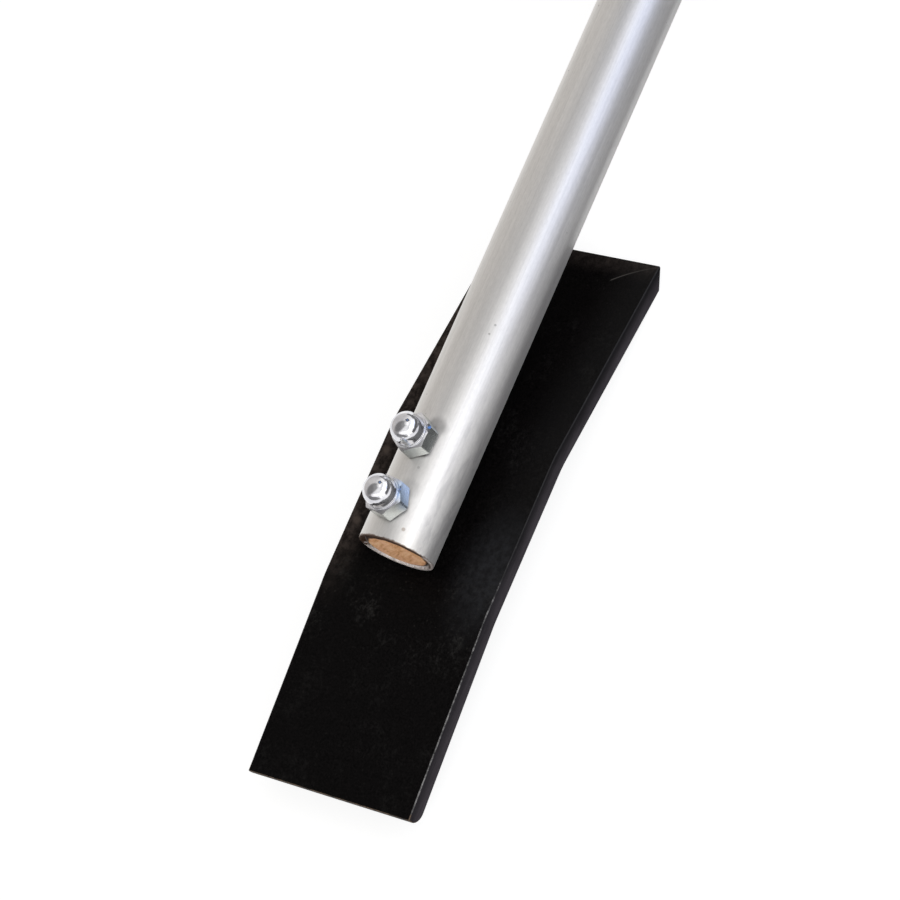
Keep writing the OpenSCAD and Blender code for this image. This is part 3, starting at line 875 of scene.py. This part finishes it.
def blade():
    """Bent strip: a level middle flat, with a bend and a sloping flat at each end."""
    flat_middle = Vector(((LOWER_BEND_X + UPPER_BEND_X) / 2, 0, FACE_Z - BLADE_T / 2))
    piece = start("blade_bent_strip", CUBE, size=1, location=flat_middle,
                  sizes=(UPPER_BEND_X - LOWER_BEND_X, 2 * HALF_BLADE, BLADE_T))
    centre_z = FACE_Z - BEND_R
    up_heading = bend_end(piece, X_AXIS, (UPPER_BEND_X, 0, centre_z), UPPER_SLOPE, -1, UPPER_FLAT)
    down_heading = bend_end(piece, -X_AXIS, (LOWER_BEND_X, 0, centre_z), LOWER_SLOPE, 1, LOWER_FLAT)
    ease_back_edge(piece, up_heading, BLADE_T - UPPER_LAND, UPPER_EASE_STEPS)
    ease_back_edge(piece, down_heading, BLADE_T - LOWER_LAND, LOWER_EASE_STEPS)
    select_all()
    bpy.ops.mesh.normals_make_consistent(inside=False)
    leave_editing()
    for x in BOLT_XS:
        cut(piece, CUBE, size=1, location=(x, 0, flat_middle.z), sizes=(NECK_HOLE, NECK_HOLE, 3 * BLADE_T))
    coat(piece, BLADE, BLADE_WORN, BLADE_SIDE)
    repaint(piece, BLADE_SIDE, lambda face: abs(face.center.y) > HALF_BLADE - TOUCHING)
    apply_modifier(piece, "BEVEL", width=BLADE_EDGE, segments=3, limit_method="ANGLE",
                   angle_limit=BLADE_EDGE_ANGLE, material=piece.data.materials.find(BLADE_WORN.name))
    smooth(BLADE_SMOOTH)
    apply_modifier(piece, "WEIGHTED_NORMAL", keep_sharp=True)
    return dress(piece, BLADE, "blade_plastic", "head", "blade")


def drill(piece, radius, reach):
    """Drills the two bolt holes right through a piece."""
    for x in BOLT_XS:
        cut(piece, CYLINDER, vertices=HOLE_SIDES, radius=radius, depth=2 * reach, location=(x, 0, AXIS_Z))


def tube(name, node, wall, stations):
    """Plain tube with eased rims, and rings of edges at the stations along it."""
    low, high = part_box(node)
    radius = half_height(node)
    length = high.x - low.x
    bore = radius - wall
    outer_line = [(x - low.x, radius) for x in stations]
    inner_line = [(x - low.x, bore) for x in reversed(stations)]
    eased = bore + BORE_EASE
    outline = rounded([(BORE_EASE, bore, RIM_ROUND), (0, eased, RIM_ROUND), (0, radius, RIM_ROUND),
                       *outer_line, (length, radius, RIM_ROUND), (length, eased, RIM_ROUND),
                       (length - BORE_EASE, bore, RIM_ROUND), *inner_line])
    piece = pole_turned(name, low.x, outline)
    coat(piece, ALUMINIUM, RIM)
    repaint(piece, RIM, lambda face: abs(face.normal.x) > RIM_FACING)
    return piece


def head_tube():
    """Tube of the head with its bolt holes."""
    stations = [x + side * HOLE_MARGIN for x in BOLT_XS for side in (-1, 1)]
    piece = tube("head_tube_drilled", "head_tube", HEAD_WALL, stations)
    drill(piece, BOLT_HOLE_R, HEAD_R + DRILL_PAST)
    return dress(piece, ALUMINIUM, "tube_aluminium", "head", "head_tube")


def wooden_core():
    """Dowel with chamfered ends and the bolt holes."""
    low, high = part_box("wooden_core")
    radius = half_height("wooden_core")
    length = high.x - low.x
    edge = CORE_CHAMFER
    outline = rounded([(0, 0), (0, radius - edge, CORE_ROUND), (edge, radius, CORE_ROUND),
                       (length - edge, radius, CORE_ROUND), (length, radius - edge, CORE_ROUND),
                       (length, 0)])
    piece = pole_turned("wooden_core_plug", low.x, outline, closed=False)
    drill(piece, BOLT_HOLE_R, HEAD_R)
    return dress(piece, WOOD, "core_wood", "head", "wooden_core")


def carriage_bolt(name, node):
    """Domed head, square neck and shank."""
    low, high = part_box(node)
    x = middle_x(node)
    seat = low.z + BOLT_HEAD_H
    half_head = BOLT_HEAD_D / 2
    dome = low_dome(half_head, BOLT_HEAD_H, BOLT_DOME_STEPS)[:-1]
    tip = high.z - seat
    shank = rounded([(-BOLT_HEAD_LAND, half_head, BOLT_HEAD_ROUND), (0, half_head, BOLT_HEAD_ROUND),
                     (0, BOLT_R), (tip - BOLT_TIP, BOLT_R), (tip, BOLT_R - BOLT_TIP), (tip, 0)])
    outline = [(depth - BOLT_HEAD_H, radius) for depth, radius in dome] + shank
    piece = turned(name, Vector((x, 0, seat)), Z_AXIS, X_AXIS, outline, closed=False)
    neck_h = BLADE_T - NECK_ROOM
    neck = start("neck", CUBE, size=1, location=(x, 0, seat + (neck_h - NECK_SINK) / 2),
                 sizes=(2 * BOLT_R, 2 * BOLT_R, neck_h + NECK_SINK))
    bpy.ops.mesh.bevel(offset=NECK_EDGE, segments=2, affect="EDGES")
    leave_editing()
    combine(piece, neck, "UNION")
    smooth()
    return dress(piece, ZINC, "plated_steel", "head", node)


def cap_nut(name, node, turn):
    """Hexagon with a chamfered shoulder, a ring step and a dome, hollow for the thread."""
    seat = Vector((middle_x(node), 0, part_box(node)[0].z))
    corner_r = NUT_FLATS / 2 / math.cos(HALF_HEX)
    ring_r = NUT_FLATS / 2 - DOME_STEP
    dome_r = ring_r - RING_STEP
    chamfer_r = NUT_FLATS / 2 - DOME_STEP / 2
    wide = corner_r + TOOL_PAST
    foot = -TOOL_PAST / 2
    piece = start(name, CYLINDER, vertices=6, radius=corner_r, depth=NUT_HEX_H,
                  location=seat + Z_AXIS * NUT_HEX_H / 2, rotation=(0, 0, turn - HALF_HEX))
    pick(piece, "edges", lambda edge: abs(edge.verts[0].co.z - edge.verts[1].co.z) > NUT_HEX_H / 2)
    bpy.ops.mesh.bevel(offset=NUT_CORNER, segments=4, affect="EDGES")
    pick(piece, "edges", lambda edge: all(vert.co.z < seat.z + TOUCHING for vert in edge.verts))
    bpy.ops.mesh.bevel(offset=NUT_SEAT_EDGE, segments=1, affect="EDGES")
    leave_editing()
    chamfer_foot = NUT_HEX_H - (wide - chamfer_r) * math.tan(NUT_CHAMFER)
    outline = rounded([(foot, 0), (foot, wide), (chamfer_foot, wide),
                       (NUT_HEX_H, chamfer_r, NUT_SHOULDER_ROUND), (NUT_HEX_H, 0)])
    combine(piece, turned("shoulder", seat, Z_AXIS, X_AXIS, outline, closed=False), "INTERSECT")
    wall_top = NUT_H - dome_r
    angles = [QUARTER_TURN * k / NUT_DOME_STEPS for k in range(1, NUT_DOME_STEPS)]
    arc = [(wall_top + dome_r * math.sin(angle), dome_r * math.cos(angle)) for angle in angles]
    root = NUT_HEX_H - TOOL_PAST
    ring_top = NUT_HEX_H + RING_H
    ring = rounded([(root, 0), (root, ring_r), (ring_top, ring_r, RING_ROUND),
                    (ring_top, dome_r, RING_FOOT), (wall_top, dome_r)])
    dome = turned("dome", seat, Z_AXIS, X_AXIS, [*ring, *arc, (NUT_H, 0)], closed=False)
    combine(piece, dome, "UNION")
    cut(piece, CYLINDER, vertices=HOLE_SIDES, radius=BOLT_R, depth=2 * (NUT_H - NUT_CROWN), location=seat)
    smooth(NUT_SMOOTH)
    coat(piece, DOME_PLATE, FLAT_PLATE, SEAT_SHADE)
    # Faces that look down get the painted shade under the nut
    repaint(piece, SEAT_SHADE, lambda face: face.normal.z < SEAT_FACING)
    repaint(piece, FLAT_PLATE,
            lambda face: abs(face.normal.z) < FLAT_FACING and face.center.z < seat.z + NUT_HEX_H)
    return dress(piece, DOME_PLATE, "bright_plate", "head", node)


blade()
head_tube()
wooden_core()
for place, nut_turn in (("lower", LOWER_NUT_TURN), ("upper", UPPER_NUT_TURN)):
    carriage_bolt(place + "_carriage_bolt", place + "_bolt")
    cap_nut(place + "_nut_domed", place + "_cap_nut", nut_turn)


# Pieces of the pole

MIDDLE_R = half_height("middle_tube")
HANDLE_R = half_height("handle_tube")
COLLET_AT = COLLAR_LIP + PART_GAP
FERRULE_AT = COLLET_AT + COLLET_LEN


def thread_r(outer_r):
    """Radius of a ferrule's threaded mouth on a tube."""
    return outer_r + FERRULE_WALL


def collar_r(outer_r):
    """Radius of the barrel of a collar over that mouth."""
    return thread_r(outer_r) + RUN_CLEAR + COLLAR_WALL


def rivet_drill(piece, node, reach):
    """Drills the hole for a ferrule's rivets right across a piece."""
    cut(piece, CYLINDER, vertices=RIVET_SIDES, radius=RIVET_R, depth=2 * reach,
        location=(middle_x(node), 0, AXIS_Z), rotation=(QUARTER_TURN, 0, 0))


def outer_tube(name, node, rivets, body):
    """Tube of the pole with the rivet hole of its ferrule."""
    low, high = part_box(rivets)
    piece = tube(name, node, OUTER_WALL, [low.x, high.x])
    rivet_drill(piece, rivets, half_height(node) + DRILL_PAST)
    return dress(piece, ALUMINIUM, "tube_aluminium", body, node)


def collar_ribs(x, barrel_r, length):
    """Ribs round a collar, one drawn and then copied round the pole's axis."""
    piece = start("ribs", CYLINDER, vertices=RIB_SIDES, radius=RIB_R, depth=length,
                  location=(x + length / 2, 0, AXIS_Z + barrel_r), rotation=(0, QUARTER_TURN, 0))
    pick(piece, "faces", lambda face: abs(face.normal.x) > FACING)
    bpy.ops.mesh.bevel(offset=RIB_END, segments=5, affect="EDGES")
    select_all()
    bpy.ops.mesh.spin(steps=RIB_COUNT - 1, dupli=True, angle=math.tau * (RIB_COUNT - 1) / RIB_COUNT,
                      center=(x, 0, AXIS_Z), axis=X_AXIS)
    leave_editing()
    return piece


def twist_collar(name, node, inner_r, outer_r, body):
    """Tapered nose, ribbed barrel, and a bore that clears the collet and the ferrule."""
    low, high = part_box(node)
    length = high.x - low.x
    barrel = collar_r(outer_r)
    mouth = inner_r + MOUTH_CLEAR
    tip = inner_r + COLLET_TIP + PART_GAP
    cone = inner_r + COLLET_WALL + PART_GAP
    bore = thread_r(outer_r) + RUN_CLEAR
    edge = COLLAR_WALL / 3
    step = FERRULE_AT - PART_GAP
    outline = rounded([(0, mouth, COLLAR_MOUTH_ROUND), (0, mouth + COLLAR_WALL, edge),
                       (COLLAR_NOSE, barrel, COLLAR_NOSE_ROUND), (length, barrel, edge),
                       (length, bore, COLLAR_BORE_ROUND), (step, bore), (step, cone),
                       (COLLET_AT + COLLET_TAPER - PART_GAP, cone), (COLLAR_LIP, tip), (COLLAR_LIP, mouth)])
    piece = pole_turned(name, low.x, outline)
    rib_start = COLLAR_NOSE + edge
    ribs = collar_ribs(low.x + rib_start, barrel, length - rib_start - 2 * edge)
    combine(piece, ribs, "UNION")
    smooth()
    return dress(piece, LOCK, "lock_plastic", body, node)


def ferrule(name, node, rivets, inner_r, outer_r, body):
    """Threaded mouth of a tube, with a rounded shoulder behind the collar."""
    low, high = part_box(node)
    length = high.x - low.x
    shoulder_at = length - 2 * (high.x - middle_x(rivets))
    lip = inner_r + PART_GAP
    shoulder = collar_r(outer_r)
    thread = thread_r(outer_r)
    outline = rounded([(0, lip, FERRULE_LIP_ROUND), (0, thread, FERRULE_TIP_ROUND), (shoulder_at, thread),
                       (shoulder_at, shoulder, SHOULDER_FRONT_ROUND),
                       (length, shoulder, SHOULDER_BACK_ROUND), (length, outer_r), (FERRULE_LIP, outer_r),
                       (FERRULE_LIP, lip)])
    piece = pole_turned(name, low.x, outline)
    rivet_drill(piece, rivets, shoulder + DRILL_PAST)
    return dress(piece, LOCK, "lock_plastic", body, node)


def ferrule_rivets(name, node, outer_r, body):
    """Two rivets on opposite sides of the pole, with low domed heads."""
    seat = collar_r(outer_r)
    dome = low_dome(RIVET_HEAD_R, RIVET_HEAD_H, RIVET_DOME_STEPS)
    head = [(seat + RIVET_HEAD_H - depth, radius) for depth, radius in dome]
    foot = outer_r - OUTER_WALL
    centre = Vector((middle_x(node), 0, AXIS_Z))
    outline = [*head, (seat, RIVET_R), (foot, RIVET_R), (foot, 0)]
    piece = turned(name, centre, Y_AXIS, X_AXIS, outline, closed=False, sides=RIVET_SIDES)
    bpy.ops.object.mode_set(mode="EDIT")
    select_all()
    bpy.ops.mesh.spin(steps=1, dupli=True, angle=math.pi, center=centre, axis=X_AXIS)
    close(piece)
    return dress(piece, RIVET, "rivet_aluminium", body, node)


def grip():
    """Rubber sleeve with rounded rings along its length and plain cuffs at both ends."""
    low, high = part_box("grip")
    length = high.x - low.x
    radius = half_height("grip")
    pitch = length / (GRIP_RINGS + 2)
    half_groove = pitch * GROOVE_SHARE / 2
    floor_r = radius - GRIP_GROOVE
    corners = [(0, HANDLE_R), (0, radius, GRIP_FRONT_ROUND)]
    for i in range(1, GRIP_RINGS + 2):
        front = i * pitch - half_groove
        back = i * pitch + half_groove
        corners += [(front, radius, GRIP_RING_ROUND), (front, floor_r, GROOVE_ROUND),
                    (back, floor_r, GROOVE_ROUND), (back, radius, GRIP_RING_ROUND)]
    corners += [(length, radius, GRIP_BACK_ROUND), (length, HANDLE_R)]
    piece = pole_turned("grip_ringed", low.x, rounded(corners, steps=3), sides=GRIP_SIDES)
    return dress(piece, RUBBER, "grip_rubber", "handle_section", "grip")


def end_cap():
    """Spigot in the tube, rounded rim over the tube and the grip, and a tab with the hanging hole."""
    low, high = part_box("end_cap")
    rim_r = half_height("grip")
    tube_end = low.x + CAP_SPIGOT
    tab_r = EYE_R + EYE_WALL
    eye_x = high.x - tab_r
    bore = HANDLE_R - OUTER_WALL
    outline = rounded([(-CAP_SPIGOT, 0), (-CAP_SPIGOT, bore, SPIGOT_ROUND), (0, bore),
                       (0, rim_r, CAP_FRONT_ROUND), (CAP_RIM, rim_r, CAP_ROUND), (CAP_RIM, 0)], steps=8)
    piece = pole_turned("end_cap_with_eye", tube_end, outline, closed=False)
    eye = (eye_x, 0, AXIS_Z)
    tab = block("tab", CYLINDER, vertices=TAB_SIDES, radius=tab_r, depth=EYE_T, location=eye)
    tab_root = tube_end + CAP_RIM / 2
    root = block("root", CUBE, size=1, location=((tab_root + eye_x) / 2, 0, AXIS_Z),
                 sizes=(eye_x - tab_root, 2 * tab_r, EYE_T))
    combine(tab, root, "UNION")
    cut(tab, CYLINDER, vertices=HOLE_SIDES, radius=EYE_R, depth=3 * EYE_T, location=eye)
    apply_modifier(tab, "BEVEL", width=TAB_EDGE, segments=4, limit_method="ANGLE",
                   angle_limit=TAB_EDGE_ANGLE)
    combine(piece, tab, "UNION")
    smooth()
    return dress(piece, LOCK, "lock_plastic", "handle_section", "end_cap")


# Each lock: name, radius of the tube inside it, the tube that it closes, that tube's radius and its body
LOCKS = (("lower", HEAD_R, "middle_tube", MIDDLE_R, "middle_section"),
         ("upper", MIDDLE_R, "handle_tube", HANDLE_R, "handle_section"))
for place, inner_r, outer, outer_r, body in LOCKS:
    rivets = place + "_ferrule_rivets"
    outer_tube(outer + "_riveted", outer, rivets, body)
    twist_collar(place + "_collar_ribbed", place + "_twist_collar", inner_r, outer_r, place + "_collar")
    ferrule(place + "_ferrule_shouldered", place + "_ferrule", rivets, inner_r, outer_r, body)
    ferrule_rivets(place + "_rivets_domed", rivets, outer_r, body)
grip()
end_cap()

# Solids of the frame that stay, with their finishes
KEPT = {"head_end_bush": BUSH, "head_stop_ring": BUSH, "middle_end_bush": BUSH, "middle_stop_ring": BUSH,
        "lower_collet": COLLET, "upper_collet": COLLET}
for node, finish in KEPT.items():
    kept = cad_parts[node]
    kept.data.materials.clear()
    coat(kept, finish)


# Stage, light and camera

FLOOR_SIZE = 30
FLOOR_SHADE = 0.28
FLOOR_LIFT = 0.84

# Sky: shades from the side behind the rake to the lamps' side, and the ceiling from its centre outwards
SKY = ((0.0, (0.62, 0.595, 0.57)), (0.385, (0.65, 0.63, 0.61)), (0.53, (1.0, 0.99, 0.97)),
       (0.8, (1.06, 1.06, 1.05)), (1.0, (0.4, 0.395, 0.39)))
CEILING_CENTRE = (-0.19, 0.2, 0)
CEILING_TURN = math.radians(43)
CEILING_STRETCH = (1.0, 1.6, 0)
CEILING = ((0.0, 0.22), (0.6, 0.25), (0.85, 1.0))

# Lamps: aim, direction of the lamp from it, distance, width, height, power and colour
WHITE = (1, 1, 1)
WARM_WHITE = (1.0, 0.99, 0.975)
STRIP_TOWARDS = (0.1, -0.83, 0.45)
PANE_TOWARDS = Vector((0.63, -0.21, 0.75)).normalized()
LAMPS = {
    "window": (ON_AXIS, (-0.15, -0.89, 0.34), 1.5, 1.5, 1.0, 5, WARM_WHITE),
    "strip": (ON_AXIS + X_AXIS * 0.1, STRIP_TOWARDS, 1.2, 0.4, 0.6, 0.72, WARM_WHITE),
    "far_strip": (ON_AXIS + X_AXIS * 0.85, STRIP_TOWARDS, 1.2, 1.1, 0.6, 3, (0.5, 0.62, 1.0)),
    "shoulder": (ON_AXIS + X_AXIS * 0.05, (0.2, -0.36, 0.91), 1.0, 0.35, 0.45, 0.22, WARM_WHITE),
    "front": (ON_AXIS, (-0.9, -0.3, 0.3), 1.2, 1.6, 1.2, 3, WHITE),
    "pane": (ON_AXIS, PANE_TOWARDS, 1.2, 0.14, 0.14, 0.05, (0.05, 0.32, 1.0)),
}

# Cards: place, turn, width, height and shade
LYING = (0, 0, 0)
FACING_Y = (QUARTER_TURN, 0, 0)
FACING_X = (0, QUARTER_TURN, 0)
FACING_PANE = PANE_TOWARDS.to_track_quat("Z", "Y").to_euler()
CARD_LIFT = 0.5 * MM
CARDS = {
    "pane_card": (ON_AXIS + PANE_TOWARDS * 1.35, FACING_PANE, 0.5, 0.5, 0.04),
    "blade_card": ((-0.62, -0.07, CARD_LIFT), LYING, 0.26, 0.07, 0.12),
    "side_card": ((1.1, -0.34, 0.06), FACING_Y, 3.6, 0.12, 0.12),
    "front_card": ((-1.7, 0, 0.25), FACING_X, 0.5, 1.6, 0.3),
    "far_card": ((3.2, 0, 0.5), FACING_X, 1.0, 3.0, 0.3),
}

# Low cards on the floor beside the pole: near and far edge across the pole, and shade
LOW_CARDS_X = 1.2
LOW_CARDS_LENGTH = 3.4
# The nearest card is painted shade: for metal it stands in for the pole's shadow on the floor beneath and
# beside it
LOW_CARDS = ((-0.002, -0.025, 0.85), (-0.027, -0.066, 0.08), (-0.08, -0.17, 0.08), (-0.19, -0.36, 0.08))

# Camera, fitted to the photo: place from the tube's end, turn in degrees, lens and sensor in millimetres
CAMERA_FROM_TUBE_END = Vector((-273.9, -747.3, 1001.4)) * MM
CAMERA_TURN = (28.342, 27.823, -63.800)
CAMERA_LENS = 148.0
CAMERA_SENSOR = 36
CAMERA_SIGHT = 100


def floor_paper():
    """Pale paper that shows white to the camera, to metal and through glass, and keeps its shadow."""
    shade = (FLOOR_SHADE, FLOOR_SHADE, FLOOR_SHADE, 1)
    inputs = new_material("floor_paper", Base_Color=shade, Roughness=0.9, Specular_IOR_Level=0.0,
                          Emission_Color=(1, 1, 1, 1))
    path = add_node("LightPath").outputs
    seen = calc("MAXIMUM", calc("MAXIMUM", path["Is Camera Ray"], path["Is Glossy Ray"]),
                path["Is Transmission Ray"])
    link(times(seen, FLOOR_LIFT), inputs["Emission Strength"])
    return Shading.material


def floor():
    """Ground that the rake lies on."""
    piece = block("floor", PLANE, size=FLOOR_SIZE, location=(0, 0, 0))
    coat(piece, floor_paper())


def dark_card(name, place, turn, wide, high, shade):
    """Dark card that only metal and gloss see, as a studio uses to shape reflections."""
    piece = block(name, PLANE, size=1, location=place, rotation=turn, sizes=(wide, high, 1))
    new_material(name, Base_Color=(shade, shade, shade, 1), Roughness=1.0, Specular_IOR_Level=0.0)
    coat(piece, Shading.material)
    piece.visible_camera = False
    piece.visible_diffuse = False
    piece.visible_shadow = False


def sky():
    """Pale studio, darker low down on the lamps' side and over a part of the ceiling."""
    world = bpy.data.worlds.new("studio")
    bpy.context.scene.world = world
    world.use_nodes = True
    Shading.tree = world.node_tree
    background = world.node_tree.nodes["Background"]
    direction = add_node("TexCoord").outputs["Generated"]
    across = add_node("SeparateXYZ", {0: direction}).outputs["Y"]
    towards_lamps = calc("MULTIPLY_ADD", across, -0.5, 0.5)
    moved = vector("SUBTRACT", direction, CEILING_CENTRE)
    turned_round = add_node("Mapping", {"Vector": moved, "Rotation": (0, 0, CEILING_TURN)}).outputs[0]
    off_centre = vector("LENGTH", vector("MULTIPLY", turned_round, CEILING_STRETCH))
    shade = mix(1.0, ramp(towards_lamps, *SKY), ramp(off_centre, *CEILING), "MULTIPLY")
    link(shade, background.inputs["Color"])


def soft_light(name, aim, direction, distance, wide, high, power, colour):
    """Rectangular soft light that shines on the aim from a direction."""
    place = aim + Vector(direction).normalized() * distance
    bpy.ops.object.light_add(type="AREA", location=place)
    lamp = bpy.context.object
    lamp.name = name
    lamp.data.shape = "RECTANGLE"
    lamp.data.size = wide
    lamp.data.size_y = high
    lamp.data.energy = power
    lamp.data.color = colour
    lamp.rotation_euler = (aim - place).to_track_quat("-Z", "Y").to_euler()


def camera():
    """Camera that sees the rake's head as the photo does."""
    bpy.ops.object.camera_add(location=ON_AXIS + CAMERA_FROM_TUBE_END,
                              rotation=[math.radians(angle) for angle in CAMERA_TURN])
    made = bpy.context.object
    made.data.sensor_width = CAMERA_SENSOR
    made.data.lens = CAMERA_LENS
    made.data.clip_end = CAMERA_SIGHT
    bpy.context.scene.camera = made


floor()
sky()
for name, lamp in LAMPS.items():
    soft_light(name, *lamp)
for name, card in CARDS.items():
    dark_card(name, *card)
for number, (near_y, far_y, shade) in enumerate(LOW_CARDS):
    middle = (LOW_CARDS_X, (near_y + far_y) / 2, CARD_LIFT)
    dark_card("low_card_%d" % number, middle, LYING, LOW_CARDS_LENGTH, near_y - far_y, shade)
camera()
bpy.context.scene.view_settings.view_transform = "Standard"
